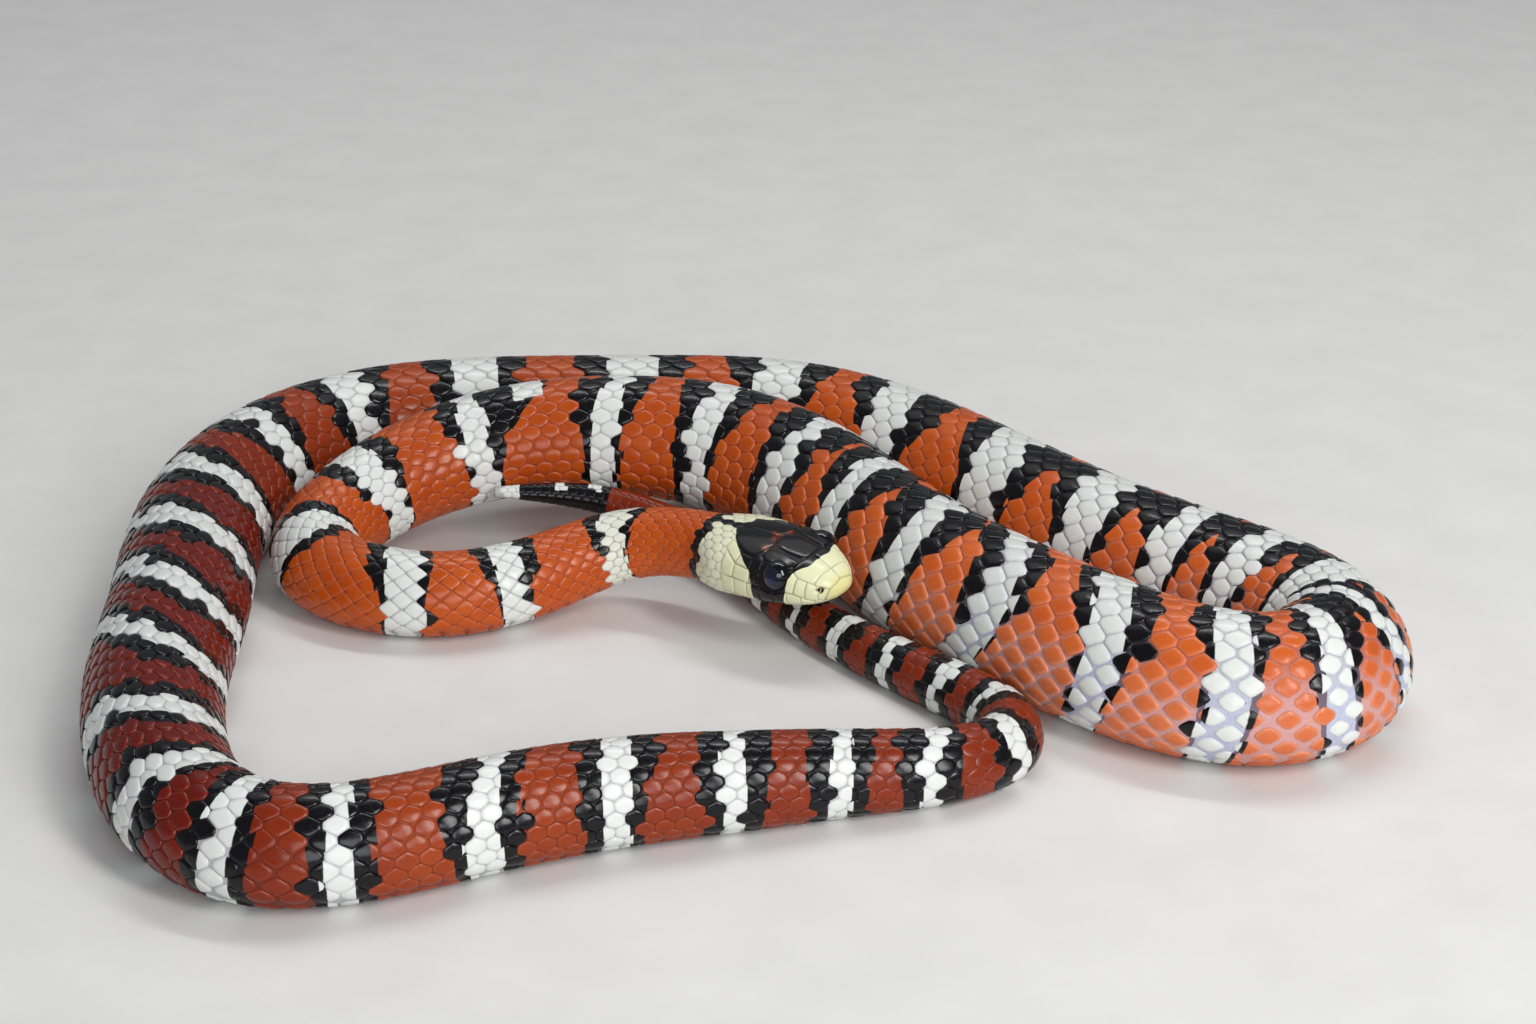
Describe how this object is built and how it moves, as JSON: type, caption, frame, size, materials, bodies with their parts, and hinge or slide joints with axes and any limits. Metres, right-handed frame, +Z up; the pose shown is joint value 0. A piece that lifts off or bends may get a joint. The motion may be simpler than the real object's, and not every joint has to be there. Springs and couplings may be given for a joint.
{
  "type": "milk snake model",
  "caption": "Life-size tricolour milk snake of the mountain kingsnake kind, lying in one loose coil with its head slightly raised and its tail tip tucked behind the neck.",
  "frame": {"origin": "on the floor, under the middle of the coil's outline", "axes": "+Z up from the floor, +X along the coil's longer side towards the tight bend, +Y from the low front length towards the back length"},
  "size_m": [0.2184, 0.1886, 0.0278],
  "materials": {
    "red_scales": "smooth glossy scales, brick red to orange",
    "head_scales": "smooth glossy head shields, cream snout and collar with a black crown",
    "eye": "wet gloss, nearly black"
  },
  "bodies": {
    "root": {"head": "head_scales", "eye_left": "eye", "eye_right": "eye", "neck_01": "red_scales", "neck_02": "red_scales", "torso_01": "red_scales", "torso_02": "red_scales", "torso_03": "red_scales", "torso_04": "red_scales", "torso_05": "red_scales", "torso_06": "red_scales", "torso_07": "red_scales", "torso_08": "red_scales", "torso_09": "red_scales", "torso_10": "red_scales", "torso_11": "red_scales", "torso_12": "red_scales", "torso_13": "red_scales", "torso_14": "red_scales", "torso_15": "red_scales", "torso_16": "red_scales", "torso_17": "red_scales", "torso_18": "red_scales", "torso_19": "red_scales", "torso_20": "red_scales", "tail_01": "red_scales", "tail_02": "red_scales", "tail_03": "red_scales", "tail_04": "red_scales", "tail_05": "red_scales"}
  },
  "joints": []
}
